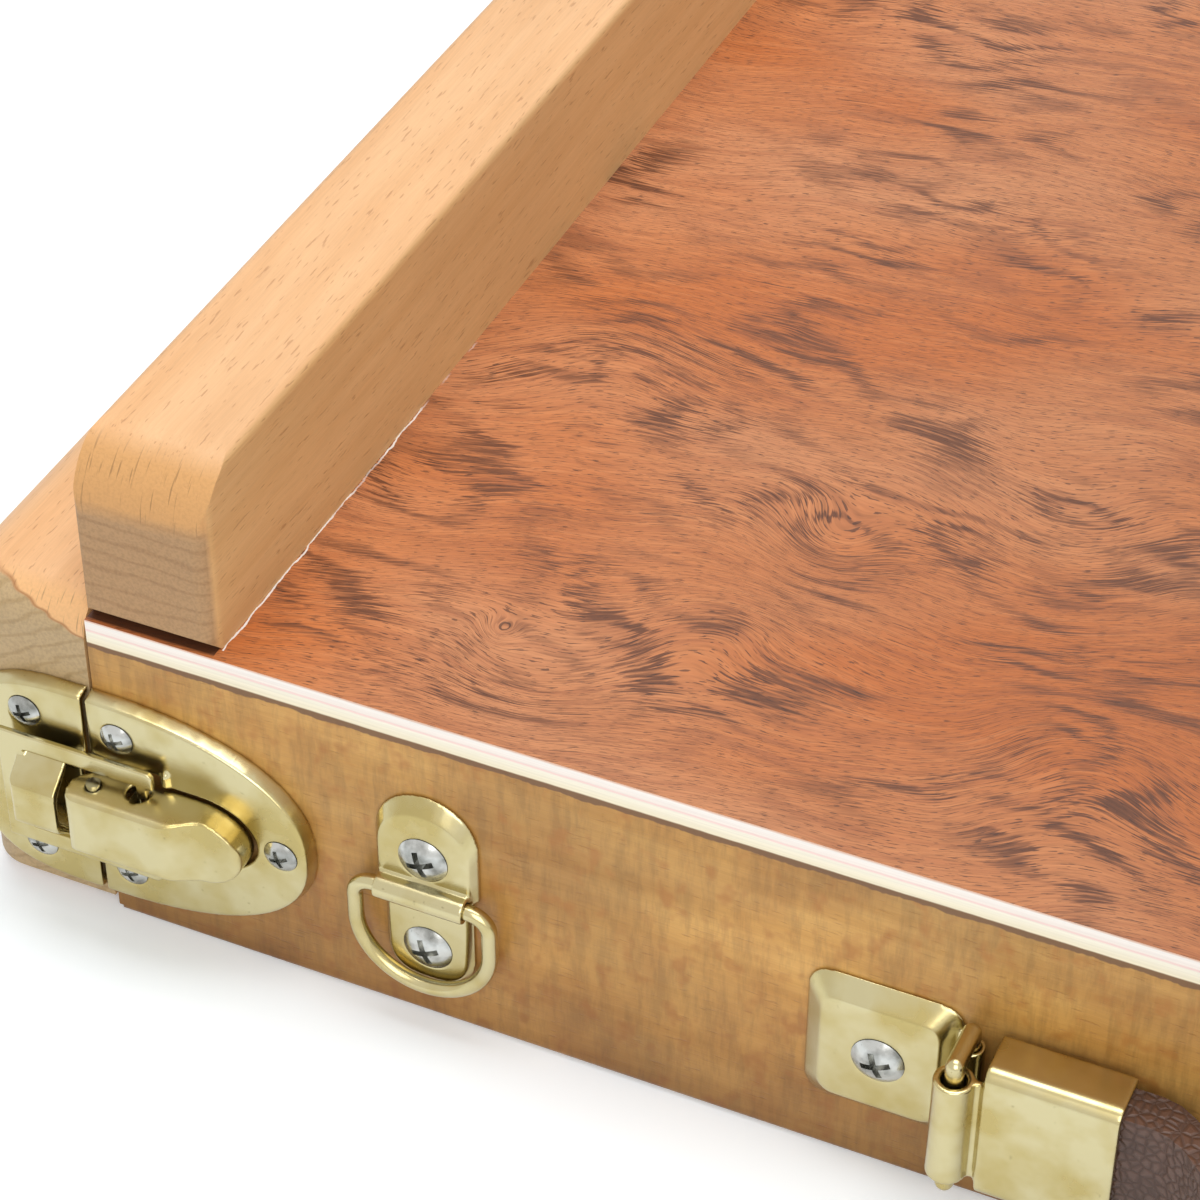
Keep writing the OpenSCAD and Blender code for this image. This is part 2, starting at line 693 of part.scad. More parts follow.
// Folded claw block, closed at its left end and open towards the lever
module claw_block() {
    l = claw_x1 - claw_x0;
    difference() {
        rotate([90, 0, 90]) linear_extrude(l) claw_section(0);
        translate([sheet_t, 0, 0]) rotate([90, 0, 90]) linear_extrude(l) claw_section(sheet_t);
    }
}

module lever_pin() {
    color("silver") translate([lever_pin_x, 0, lever_pin_out]) rotate([90, 0, 0])
        cylinder(r = pin_r, h = lever_w + 0.4, center = true);
}

module latch_screws(places) {
    for (p = places) translate(p) screw(small_head_r, small_shank_r, plate_rise);
}

// ---- strap rings -----------------------------------------------------------
// Drawn flat: origin under the hinge of the ring

function tab_outline(w, top, r) = concat([[-w / 2, 0], [w / 2, 0]],
    [for (i = [0:8]) [w / 2 - r + r * cos(i * 90 / 8), top - r + r * sin(i * 90 / 8)]],
    [for (i = [0:8]) [-w / 2 + r - r * sin(i * 90 / 8), top - r + r * cos(i * 90 / 8)]]);

// Pressed tab whose sloping rim widens over its round end
module bracket_tab(w, top, r, rise, rim) {
    pressed(tab_outline(w, top, r), tab_outline(w - 1.6, top - rim, r - 0.8),
        tab_outline(w - 1.8, top - 0.9, r - 0.9), tab_outline(w - 3, top - rim - 0.8, r - 1.5), rise);
}

module ring_bracket() {
    bore = ring_wire_r + pin_gap;
    knuckle_w = bracket_w - 1.6;
    color("gold") difference() {
        union() {
            bracket_tab(bracket_w, tab_up, bracket_w / 2 - 0.1, tab_rise, 2);
            mirror([0, 1, 0]) bracket_tab(knuckle_w, tab_down, knuckle_w / 2 - 1.2, low_tab_rise, 0.8);
            translate([0, 0, ring_out]) rotate([0, 90, 0])
                cylinder(r = bore + roll_t, h = knuckle_w, center = true);
            translate([-knuckle_w / 2, -bore - roll_t, 0])
                cube([knuckle_w, 2 * (bore + roll_t), ring_out]);
        }
        translate([0, 0, ring_out]) rotate([0, 90, 0])
            cylinder(r = bore, h = bracket_w + cut, center = true);
        translate(tab_pilots[0]) screw_seat(big_head_r, big_shank_r, tab_rise);
        translate(tab_pilots[1]) screw_seat(big_head_r, big_shank_r, low_tab_rise);
    }
}

module strap_ring() {
    half = ring_outer_w / 2 - ring_wire_r;
    leg = ring_drop - ring_wire_r - half;
    color("gold") translate([0, 0, ring_out]) {
        rotate([0, 90, 0])
            cylinder(r = ring_wire_r, h = 2 * (half - ring_bend_r), center = true);
        for (side = [0, 1]) mirror([side, 0, 0]) {
            translate([half - ring_bend_r, -ring_bend_r, 0]) rotate_extrude(angle = 90)
                translate([ring_bend_r, 0]) circle(r = ring_wire_r, $fn = 24);
            translate([half, -ring_bend_r, 0]) rotate([90, 0, 0])
                cylinder(r = ring_wire_r, h = leg - ring_bend_r);
        }
        translate([0, -leg, 0]) rotate(180) rotate_extrude(angle = 180)
            translate([half, 0]) circle(r = ring_wire_r, $fn = 24);
    }
}

module ring_screws() {
    translate(tab_pilots[0]) screw(big_head_r, big_shank_r, tab_rise);
    translate(tab_pilots[1]) screw(big_head_r, big_shank_r, low_tab_rise);
}

// ---- carrying handle -------------------------------------------------------
// Drawn flat: origin at the centre of the left handle plate

function round_rect(w, h, r) = [for (q = [[1, 1, 0], [-1, 1, 90], [-1, -1, 180], [1, -1, 270]])
    for (i = [0:6]) [q[0] * (w / 2 - r) + r * cos(q[2] + i * 15), q[1] * (h / 2 - r) + r * sin(q[2] + i * 15)]];

module handle_plate() {
    knuckle_r = link_wire_r + pin_gap + sheet_t - 0.3;
    knuckle_h = wire_link_h - 2 * link_wire_r - 1.4;
    color("gold") difference() {
        union() {
            pressed(round_rect(hplate_w, hplate_h, 2.6),
                round_rect(hplate_w - 2 * hplate_rim, hplate_h - 2 * hplate_rim, 1.8),
                round_rect(hplate_w - 2 * sheet_t, hplate_h - 2 * sheet_t, 2),
                round_rect(hplate_w - 2 * hplate_rim - sheet_t, hplate_h - 2 * hplate_rim - sheet_t, 1.4),
                plate_rise);
            translate([link_bar_x, 0, link_bar_out]) rotate([90, 0, 0])
                cylinder(r = knuckle_r, h = knuckle_h, center = true);
            translate([hplate_w / 2 - 1.5, -knuckle_h / 2, 0])
                cube([link_bar_x - hplate_w / 2 + 1.5, knuckle_h, sheet_t]);
        }
        translate([link_bar_x, 0, link_bar_out]) rotate([90, 0, 0])
            cylinder(r = link_wire_r + pin_gap, h = hplate_h + cut, center = true);
        screw_seat(big_head_r, big_shank_r, plate_rise);
    }
}

// Closed wire link standing away from the case, between two upright bars
module wire_link() {
    color("gold") translate([link_bar_x, 0, link_bar_out]) {
        for (z = [0, wire_link_out]) translate([0, 0, z]) rotate([90, 0, 0])
            cylinder(r = link_wire_r, h = wire_link_h, center = true);
        for (side = [-1, 1]) translate([0, side * wire_link_h / 2, 0]) {
            cylinder(r = link_wire_r, h = wire_link_out);
            for (z = [0, wire_link_out]) translate([0, 0, z]) sphere(r = link_wire_r);
        }
    }
}

ferrule_x = link_bar_x + link_wire_r + 2.05;  // left face of the ferrule
grip_low = 1.4;                                // underside of the handle's ends

// Brass end of the handle: a cup over the grip and a loop round the link's outer bar
module ferrule() {
    loop_r = link_wire_r + 0.35 + sheet_t;
    loop_h = wire_link_h - 2 * link_wire_r - 1.4;
    bar_z = link_bar_out + wire_link_out;
    color("gold") difference() {
        union() {
            translate([ferrule_x, -grip_h / 2, grip_low]) difference() {
                cube([ferrule_l, grip_h, grip_t]);
                for (side = [0, 1]) translate([0, side * grip_h, 0]) mirror([0, side, 0])
                    translate([0, 0, grip_t]) mirror([0, 0, 1]) edge_waste_x(1.6, ferrule_l);
                translate([sheet_t, sheet_t, sheet_t])
                    cube([ferrule_l, grip_h - 2 * sheet_t, grip_t - 2 * sheet_t]);
            }
            translate([link_bar_x, 0, bar_z]) rotate([90, 0, 0])
                cylinder(r = loop_r, h = loop_h, center = true);
            translate([link_bar_x, -loop_h / 2, bar_z - sheet_t])
                cube([ferrule_x - link_bar_x + sheet_t, loop_h, sheet_t]);
        }
        translate([link_bar_x, 0, bar_z]) rotate([90, 0, 0])
            cylinder(r = link_wire_r + 0.35, h = loop_h + cut, center = true);
    }
}

// Arched grip between the two ferrules, drawn from the centre of the handle
module grip() {
    half = handle_span / 2 - ferrule_x - sheet_t;
    flat = ferrule_l + 2;
    rise_l = 20;
    inner_h = grip_h - 2 * sheet_t;
    t = grip_t - 2 * sheet_t;
    function crown(x) = let (k = min(1, max(0, (half - flat - x) / rise_l))) grip_arch * (1 - cos(180 * k)) / 2;
    xs = [for (i = [-24:24]) i * half / 24];
    points = concat([for (x = xs) [x, crown(abs(x))]],
        [for (i = [48:-1:0]) [xs[i], t + crown(abs(xs[i]))]]);
    color("saddlebrown") on_front(handle_x, handle_z) translate([0, 0, grip_low + sheet_t])
        difference() {
            side_extrude(inner_h) polygon(points);
            for (side = [0, 1]) mirror([0, side, 0]) translate([0, -inner_h / 2, 0]) grip_ease(half);
        }
}

// Easing of the grip's long outer edges, cut by an overlong prism with a slope
module grip_ease(half) {
    translate([-half, -1, grip_arch + grip_t - 2 * sheet_t - 1.2])
        rotate([45, 0, 0]) cube([2 * half, 3, 3]);
}

// ---- nodes -----------------------------------------------------------------

module at_handle(side) {
    on_front(handle_x, handle_z) mirror([side, 0, 0]) translate([-handle_span / 2, 0, 0]) children();
}

front_side();
back_side();
end_rail();
bottom_panel();
top_panel();
top_veneer();
batten();
mouth_rail();
stop_rail();
runners();
drawer_front();
drawer_side_front();
drawer_side_back();
drawer_back();
drawer_bottom();
long_divider();
cross_dividers();
on_front(0, latch_z) catch_plate();  // front_catch_plate
on_front(0, latch_z) latch_base();  // front_latch_base
on_front(0, latch_z) latch_lever();  // front_latch_lever
on_front(0, latch_z) latch_link();  // front_latch_link
on_front(0, latch_z) lever_pin();  // front_lever_pin
on_front(0, latch_z) latch_screws(catch_pilots);  // front_catch_screws
on_front(0, latch_z) latch_screws(base_pilots);  // front_base_screws
on_back(0, latch_z) catch_plate();  // back_catch_plate
on_back(0, latch_z) latch_base();  // back_latch_base
on_back(0, latch_z) latch_lever();  // back_latch_lever
on_back(0, latch_z) latch_link();  // back_latch_link
on_back(0, latch_z) lever_pin();  // back_lever_pin
on_back(0, latch_z) latch_screws(catch_pilots);  // back_catch_screws
on_back(0, latch_z) latch_screws(base_pilots);  // back_base_screws
on_front(ring_x, ring_z) ring_bracket();  // left_ring_bracket
on_front(ring_x, ring_z) strap_ring();  // left_strap_ring
on_front(ring_x, ring_z) ring_screws();  // left_ring_screws
on_front(right_ring_x, ring_z) ring_bracket();  // right_ring_bracket
on_front(right_ring_x, ring_z) strap_ring();  // right_strap_ring
on_front(right_ring_x, ring_z) ring_screws();  // right_ring_screws
at_handle(0) handle_plate();  // left_handle_plate
at_handle(1) handle_plate();  // right_handle_plate
at_handle(0) wire_link();  // left_wire_link
at_handle(1) wire_link();  // right_wire_link
at_handle(0) ferrule();  // left_ferrule
at_handle(1) ferrule();  // right_ferrule
grip();
union() {  // handle_screws
    at_handle(0) screw(big_head_r, big_shank_r, plate_rise);
    at_handle(1) screw(big_head_r, big_shank_r, plate_rise);
}
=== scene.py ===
import json
import math

import bpy
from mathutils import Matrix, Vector

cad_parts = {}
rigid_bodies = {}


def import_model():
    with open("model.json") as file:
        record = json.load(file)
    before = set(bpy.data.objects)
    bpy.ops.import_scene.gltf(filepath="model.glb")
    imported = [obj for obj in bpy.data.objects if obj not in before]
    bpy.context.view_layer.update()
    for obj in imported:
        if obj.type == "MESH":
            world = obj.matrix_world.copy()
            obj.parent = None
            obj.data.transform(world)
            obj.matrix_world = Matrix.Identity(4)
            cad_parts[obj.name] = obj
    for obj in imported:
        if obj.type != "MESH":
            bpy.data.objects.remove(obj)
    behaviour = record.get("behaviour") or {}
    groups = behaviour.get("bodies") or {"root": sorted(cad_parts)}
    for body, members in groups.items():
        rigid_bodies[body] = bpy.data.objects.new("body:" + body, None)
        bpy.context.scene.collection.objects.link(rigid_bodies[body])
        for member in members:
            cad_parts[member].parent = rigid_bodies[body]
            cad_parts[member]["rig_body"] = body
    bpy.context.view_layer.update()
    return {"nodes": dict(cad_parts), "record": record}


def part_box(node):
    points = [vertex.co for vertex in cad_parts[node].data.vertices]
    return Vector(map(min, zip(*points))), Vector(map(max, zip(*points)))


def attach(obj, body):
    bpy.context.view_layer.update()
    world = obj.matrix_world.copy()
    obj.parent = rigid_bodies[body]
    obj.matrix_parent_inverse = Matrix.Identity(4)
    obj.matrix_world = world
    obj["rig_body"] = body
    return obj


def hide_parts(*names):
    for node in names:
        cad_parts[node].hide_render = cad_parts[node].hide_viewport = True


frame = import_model()

MM = 0.001

# Places that everything else is worked out from
CASE_LO, CASE_HI = (Vector(v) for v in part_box("front_side"))
PANEL_LO, PANEL_HI = (Vector(v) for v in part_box("top_veneer"))
BATTEN_LO, BATTEN_HI = (Vector(v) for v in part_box("batten"))
SPLIT_X = PANEL_LO.x
FRONT_Y = CASE_LO.y
PANEL_Z = PANEL_HI.z
CORE_Z = CASE_HI.z

# Camera, from the left end of the panel's lower front edge
CAMERA_OFFSET = Vector((163.9, -230.8, 236.8)) * MM
CAMERA_PITCH = 50.26
CAMERA_TURN = 24.25
CAMERA_LENS = 102.8
CAMERA_SENSOR = 36

# Studio: place, aim, size and power of each lamp, in metres and watts
LAMPS = {"key": ((-0.05, 0.12, 1.2), (-0.05, 0, 0), 0.9, 9.8),
         "fill": ((0.35, -1.0, 0.75), (0, 0, 0), 0.9, 7.5)}
FLOOR_SIZE = 6

# How far from its centre the floor starts to turn plain white, and where it is all white
WHITE_STARTS, WHITE_FULL = 0.20, 0.62


# ---- node helpers ------------------------------------------------------------

def new_material(name):
    """A material with an empty node tree, and that tree."""
    material = bpy.data.materials.new(name)
    material.use_nodes = True
    material.node_tree.nodes.clear()
    return material, material.node_tree


def new_group(name, inputs, outputs):
    """A shader group that puts out plain values: its tree, what it is given, what it fills."""
    tree = bpy.data.node_groups.new(name, "ShaderNodeTree")
    for label, kind, default in inputs:
        socket = tree.interface.new_socket(label, in_out="INPUT", socket_type=kind)
        if default is not None:
            socket.default_value = default
    for label in outputs:
        tree.interface.new_socket(label, in_out="OUTPUT", socket_type="NodeSocketFloat")
    return tree, tree.nodes.new("NodeGroupInput").outputs, tree.nodes.new("NodeGroupOutput").inputs


def fill(tree, socket, value):
    """Links another node's output to a socket, or writes a plain value into it."""
    if isinstance(value, bpy.types.NodeSocket):
        tree.links.new(value, socket)
    else:
        socket.default_value = value


def add(tree, kind, inputs=None, **settings):
    """Adds a node, sets its properties, and fills its inputs."""
    node = tree.nodes.new(kind)
    for key, value in settings.items():
        setattr(node, key, value)
    for key, value in (inputs or {}).items():
        fill(tree, node.inputs[key], value)
    return node


def use_group(tree, group, inputs):
    return add(tree, "ShaderNodeGroup", inputs, node_tree=group).outputs


def calculate(tree, operation, a, b=0.0, clamp=False):
    node = add(tree, "ShaderNodeMath", {0: a, 1: b}, operation=operation)
    node.use_clamp = clamp
    return node.outputs[0]


def plus(tree, a, b):
    return calculate(tree, "ADD", a, b)


def minus(tree, a, b):
    return calculate(tree, "SUBTRACT", a, b)


def times(tree, a, b, clamp=False):
    return calculate(tree, "MULTIPLY", a, b, clamp)


def vector_math(tree, operation, a, b=(0, 0, 0), scale=1.0):
    node = add(tree, "ShaderNodeVectorMath", {0: a, 1: b, 3: scale}, operation=operation)
    gives_number = operation in ("DOT_PRODUCT", "LENGTH", "DISTANCE")
    return node.outputs["Value" if gives_number else "Vector"]


def vector_of(tree, axis, value):
    """A vector that points along one axis."""
    return add(tree, "ShaderNodeCombineXYZ", {axis: value}).outputs[0]


def parts_of(tree, vector):
    """The X, Y and Z of a vector."""
    return add(tree, "ShaderNodeSeparateXYZ", {"Vector": vector}).outputs


def ramp(tree, factor, stops):
    """Colour ramp from (position, colour) pairs; a plain number is a grey."""
    node = add(tree, "ShaderNodeValToRGB", {"Fac": factor})
    elements = node.color_ramp.elements
    while len(elements) < len(stops):
        elements.new(0.5)
    for element, (position, colour) in zip(elements, stops):
        if isinstance(colour, (int, float)):
            colour = (colour, colour, colour)
        element.position = position
        element.color = (*colour, 1)
    return node.outputs["Color"]


def mix(tree, share, first, second, blend="MIX"):
    """The first colour at a share of 0 and the second at 1, or the two blended another way."""
    node = add(tree, "ShaderNodeMix", data_type="RGBA", blend_type=blend)
    for label, value in (("Factor", share), ("A", first), ("B", second)):
        socket = next(s for s in node.inputs if s.name == label and s.enabled)
        fill(tree, socket, (*value, 1) if isinstance(value, tuple) else value)
    return next(s for s in node.outputs if s.enabled)


def shaded(tree, colour, shade):
    """A colour multiplied by another one."""
    return mix(tree, 1.0, colour, shade, "MULTIPLY")


def mapped(tree, vector, scale, turn=(0, 0, 0), place=(0, 0, 0)):
    turn = tuple(math.radians(a) for a in turn)
    inputs = {"Vector": vector, "Location": place, "Rotation": turn, "Scale": scale}
    return add(tree, "ShaderNodeMapping", inputs).outputs[0]


def noise(tree, vector, scale, detail=2.0, roughness=0.5, turn=(0, 0, 0), place=(0, 0, 0),
          output="Fac"):
    """Soft noise from 0 to 1. Scale is its cells per unit of length along X, Y and Z."""
    inputs = {"Vector": mapped(tree, vector, scale, turn, place), "Scale": 1.0,
              "Detail": detail, "Roughness": roughness}
    return add(tree, "ShaderNodeTexNoise", inputs).outputs[output]


def object_point(tree):
    return add(tree, "ShaderNodeTexCoord").outputs["Object"]


def facing(tree, axis):
    """How squarely a face looks along an axis of the object, either way, from 0 to 1."""
    normal = add(tree, "ShaderNodeTexCoord").outputs["Normal"]
    return calculate(tree, "ABSOLUTE", vector_math(tree, "DOT_PRODUCT", normal, axis))


def bump(tree, height, distance, strength):
    inputs = {"Height": height, "Distance": distance, "Strength": strength}
    return add(tree, "ShaderNodeBump", inputs).outputs[0]


def principled(tree, **inputs):
    names = {"color": "Base Color", "rough": "Roughness", "metal": "Metallic",
             "normal": "Normal", "specular": "Specular IOR Level"}
    shader = add(tree, "ShaderNodeBsdfPrincipled",
                 {names[key]: value for key, value in inputs.items()})
    add(tree, "ShaderNodeOutputMaterial", {"Surface": shader.outputs[0]})


# ---- wood --------------------------------------------------------------------

# Depth of the grain in a planed face, in metres
WOOD_RELIEF = 0.04 * MM

# How the timber pattern, whose grain runs along X, is turned to run along another axis
GRAIN_TURN = {"x": (0, 0, 0), "y": (0, 0, -90)}


def build_timber_group():
    """Grain that runs along X: long streaks, short dark flecks, and soft blotches."""
    tree, given, out = new_group(
        "timber_grain",
        [("Vector", "NodeSocketVector", None), ("Fleck Threshold", "NodeSocketFloat", 0.66)],
        ["Streaks", "Flecks", "Blotches", "Fibres"])
    point = given["Vector"]
    bend = noise(tree, point, (9, 14, 14), detail=1, output="Color")
    bend = vector_math(tree, "SUBTRACT", bend, (0.5, 0.5, 0.5))
    flow = vector_math(tree, "ADD", point, vector_math(tree, "SCALE", bend, scale=0.006))
    fleck = minus(tree, noise(tree, flow, (420, 3600, 3600), 1, 0.4), given["Fleck Threshold"])
    fill(tree, out["Streaks"], noise(tree, flow, (14, 260, 260), 3, 0.6))
    fill(tree, out["Flecks"], times(tree, fleck, 14.0, clamp=True))
    fill(tree, out["Blotches"], noise(tree, point, (30, 44, 44)))
    fill(tree, out["Fibres"], noise(tree, flow, (180, 5200, 5200), 2, 0.6))
    return tree


def build_rings_group():
    """Growth rings across a board's end: slanted lines and fine pores."""
    rings_per_metre, wobble_share = 3100, 9.0
    tree, given, out = new_group(
        "end_grain",
        [("Vector", "NodeSocketVector", None), ("Slant", "NodeSocketVector", (0, 0, 1))],
        ["Rings", "Pores"])
    point = given["Vector"]
    along = vector_math(tree, "DOT_PRODUCT", point, given["Slant"])
    wobble = noise(tree, point, (70, 70, 260), 3, 0.6)
    phase = plus(tree, times(tree, along, rings_per_metre), times(tree, wobble, wobble_share))
    wave = times(tree, calculate(tree, "SINE", phase), 0.5)
    fill(tree, out["Rings"], plus(tree, wave, 0.5))
    fill(tree, out["Pores"], noise(tree, point, (3000, 3000, 3000), 1))
    return tree


def timber_face(tree, groups, point, along, pale, deep, fleck_colour, fleck_amount=0.5,
                fleck_threshold=0.66, blotch=0.1):
    """Colour and surface height of a planed face whose grain runs along one axis."""
    grain = use_group(tree, groups["timber"],
                      {"Vector": mapped(tree, point, (1, 1, 1), GRAIN_TURN[along]),
                       "Fleck Threshold": fleck_threshold})
    face = ramp(tree, grain["Streaks"], [(0.3, deep), (0.62, pale)])
    face = shaded(tree, face, ramp(tree, grain["Blotches"], [(0.35, 1.0 - blotch), (0.65, 1.0)]))
    face = shaded(tree, face, ramp(tree, grain["Fibres"], [(0.3, 0.9), (0.7, 1.0)]))
    face = mix(tree, times(tree, grain["Flecks"], fleck_amount), face, fleck_colour)
    return face, minus(tree, grain["Fibres"], grain["Flecks"]), grain


def beech(name, groups, end_top, end_slope, slant, end_pale, end_deep, round_colour, fade, seam):
    """Steamed beech along Y; faces that look along X get painted shade, darker and tinted. Grey end
    grain shows on the flat end, up to a level that starts at end_top and slopes along X; over the
    rounded end the surface turns to orange-brown wood with short upright pores. Fade is the width
    of that change in millimetres, and seam the strength of a dark line along it."""
    material, tree = new_material(name)
    point = object_point(tree)
    face, height, grain = timber_face(
        tree, groups, point, "y", pale=(0.86, 0.51, 0.262), deep=(0.78, 0.435, 0.205),
        fleck_colour=(0.42, 0.20, 0.085), fleck_amount=0.55, fleck_threshold=0.655, blotch=0.07)
    # Painted shade: faces that look along X are darkened and tinted, as if turned from the light
    painted_side_shade = ramp(tree, facing(tree, (1, 0, 0)), [(0.6, (1, 1, 1)), (0.95, (0.88, 0.92, 0.80))])
    face = shaded(tree, face, painted_side_shade)

    ends = use_group(tree, groups["rings"], {"Vector": point, "Slant": slant})
    end = ramp(tree, ends["Rings"], [(0.0, end_deep), (0.22, end_pale), (1.0, end_pale)])
    end = shaded(tree, end, ramp(tree, ends["Pores"], [(0.35, 0.86), (0.6, 1.0)]))
    upright = noise(tree, point, (3600, 300, 210), 1)
    upright = ramp(tree, upright, [(0.62, 0.0), (0.72, 0.65)])
    rounded = mix(tree, upright, round_colour, tuple(c * 0.45 for c in round_colour))
    rounded = shaded(tree, rounded, ramp(tree, ends["Pores"], [(0.3, 0.92), (0.6, 1.0)]))

    across, _, level = parts_of(tree, point)
    level = minus(tree, minus(tree, level, times(tree, across, end_slope)), end_top)
    level = plus(tree, level, times(tree, ends["Rings"], 0.25 * MM))
    low = ramp(tree, times(tree, level, 1 / (fade * MM)), [(0.0, 1.0), (0.5, 0.5), (1.0, 0.0)])
    end = mix(tree, low, rounded, end)
    line = ramp(tree, times(tree, level, 1 / MM), [(0.0, 0.0), (0.22, seam), (0.5, 0.0)])
    end = mix(tree, line, end, (0.34, 0.13, 0.04))
    mask = ramp(tree, facing(tree, (0, 1, 0)), [(0.30, 0.0), (0.62, 1.0)])
    principled(tree, color=mix(tree, mask, face, end), specular=0.35,
               rough=ramp(tree, grain["Streaks"], [(0.3, 0.52), (0.7, 0.44)]),
               normal=bump(tree, height, WOOD_RELIEF, 0.5))
    return material


def side_board(name, groups):
    """Honey-gold side with fine upright ripples, brown spots, and painted shade that darkens it
    toward the bottom.
    """
    material, tree = new_material(name)
    point = object_point(tree)
    face, height, grain = timber_face(
        tree, groups, point, "x", pale=(0.70, 0.385, 0.105), deep=(0.58, 0.29, 0.065),
        fleck_colour=(0.30, 0.13, 0.03), fleck_amount=0.35, blotch=0.24)
    ripples = noise(tree, point, (900, 900, 150), 3, 0.7)
    face = shaded(tree, face, ramp(tree, ripples, [(0.36, 0.82), (0.56, 1.02)]))
    patches = noise(tree, point, (105, 105, 80), 3, 0.6, turn=(0, 24, 0))
    patches = ramp(tree, patches, [(0.38, (0.84, 0.78, 0.72)), (0.58, (1, 1, 1))])
    face = shaded(tree, face, patches)
    spots = noise(tree, point, (330, 330, 260), 2, 0.6, turn=(0, 30, 0))
    face = mix(tree, ramp(tree, spots, [(0.54, 0.0), (0.68, 0.62)]), face, (0.40, 0.155, 0.03))

    level = calculate(tree, "DIVIDE", parts_of(tree, point)["Z"], CORE_Z)
    # Painted shade: the side darkens toward its lower edge, where the floor's shade falls
    painted_foot_shade = ramp(tree, level, [(0.0, (0.56, 0.50, 0.42)), (0.30, (0.80, 0.74, 0.64)),
                              (0.62, (1, 1, 1))])
    face = shaded(tree, face, painted_foot_shade)
    wander = noise(tree, point, (260, 260, 260), 3, 0.7)
    edge = plus(tree, level, times(tree, wander, 0.030))
    face = mix(tree, ramp(tree, edge, [(0.997, 0.0), (1.0, 0.9)]), face, (0.16, 0.075, 0.03))
    end = shaded(tree, (0.42, 0.26, 0.11), ramp(tree, grain["Streaks"], [(0.3, 0.8), (0.7, 1.0)]))
    mask = ramp(tree, facing(tree, (1, 0, 0)), [(0.72, 0.0), (0.93, 1.0)])
    principled(tree, color=mix(tree, mask, face, end), specular=0.45,
               rough=ramp(tree, grain["Streaks"], [(0.3, 0.46), (0.7, 0.36)]),
               normal=bump(tree, height, WOOD_RELIEF, 0.5))
    return material


def plain_board(name, groups):
    """Bare softwood of the drawer, the dividers and the hidden rails."""
    material, tree = new_material(name)
    face, height, _ = timber_face(tree, groups, object_point(tree), "x", pale=(0.76, 0.60, 0.40),
                                  deep=(0.66, 0.48, 0.29), fleck_colour=(0.40, 0.24, 0.12))
    principled(tree, color=face, rough=0.6, normal=bump(tree, height, WOOD_RELIEF, 0.5))
    return material


def ply_edge_colour(tree, point):
    """Cream plies with a thin rosy glue line and a rough brown line along the bottom."""
    wander = noise(tree, point, (160, 160, 160), 3, 0.7)
    height = plus(tree, parts_of(tree, point)["Z"], times(tree, wander, 0.2 * MM))
    level = calculate(tree, "DIVIDE", minus(tree, height, CORE_Z), PANEL_Z - CORE_Z)
    plies = ramp(tree, level, [
        (0.0, (0.16, 0.09, 0.05)), (0.05, (0.30, 0.18, 0.10)), (0.09, (0.92, 0.83, 0.60)),
        (0.52, (0.97, 0.92, 0.78)), (0.6, (0.93, 0.66, 0.62)), (0.66, (0.97, 0.88, 0.80)),
        (0.93, (0.98, 0.93, 0.88)), (1.0, (0.80, 0.55, 0.42))])
    strands = noise(tree, point, (40, 40, 3800), 3, 0.7)
    return shaded(tree, plies, ramp(tree, strands, [(0.3, 0.9), (0.6, 1.0)]))


def plywood(name, groups):
    """Bare plywood: pale face grain, layered edges."""
    material, tree = new_material(name)
    point = object_point(tree)
    grain = use_group(tree, groups["timber"], {"Vector": point})
    face = ramp(tree, grain["Streaks"], [(0.3, (0.74, 0.60, 0.42)), (0.65, (0.84, 0.72, 0.54))])
    face = mix(tree, times(tree, grain["Flecks"], 0.3), face, (0.45, 0.3, 0.18))
    mask = ramp(tree, facing(tree, (0, 0, 1)), [(0.4, 0.0), (0.6, 1.0)])
    principled(tree, color=mix(tree, mask, ply_edge_colour(tree, point), face), rough=0.6,
               normal=bump(tree, grain["Fibres"], 0.05 * MM, 0.5))
    return material


# ---- figured veneer ----------------------------------------------------------

# Bulges of the growth layers under the veneer, in millimetres: centre, reach, height
BULGES = [((-86, -84), 7.5, 9.0), ((-91, -101), 8.0, -4.2), ((-112, -111), 2.2, 2.4),
          ((-120, -60), 12.0, -8.0), ((-60, -76), 14.0, 9.0), ((-50, -104), 11.0, -9.0),
          ((-128, -96), 9.0, 5.0), ((-106, -119), 10.0, 7.0), ((-80, -30), 16.0, 6.0),
          ((-20, -60), 16.0, 12.0), ((10, 20), 20.0, -14.0), ((-60, 60), 18.0, 12.0),
          ((60, -30), 18.0, 14.0), ((95, 55), 20.0, -15.0), ((20, 90), 16.0, 12.0),
          ((100, -85), 16.0, -12.0)]

# Where the dark figure gathers, in millimetres and degrees: centre, half length, half width, turn
DARK_PATCHES = [((-126, -50), 13, 5, -35), ((-110, -47), 14, 4, -12), ((-110, -69), 15, 5, 12),
                ((-125, -90), 14, 5, 20), ((-88, -81), 8, 5, -40), ((-81, -88), 10, 5, 50),
                ((-73, -78), 10, 5, -50), ((-93, -104), 11, 4, 45), ((-111, -121), 13, 4, 0),
                ((-129, -108), 12, 4, 0), ((-60, -66), 12, 4, 0), ((-57, -92), 8, 5, -50),
                ((-49, -100), 14, 6, 38), ((-62, -115), 12, 4, 28), ((-90, -14), 12, 3, -11),
                ((-67, -27), 12, 3, 5), ((-54, -77), 10, 4, 35)]

# Turn of the fibres in degrees, and how much of the bulges' height fibres and layers take
FIBRE_TURN = -8
FIBRE_RISE, LAYER_RISE = 0.85, 1.1

# How far the fibres slide at most between one end and the other, in millimetres; the rise of
# the layers across the panel; and the radians of a band for each millimetre of that rise
FEATHER_REACH = 17.0
LAYER_SLOPE = 0.45
BAND_PACE = 1.35


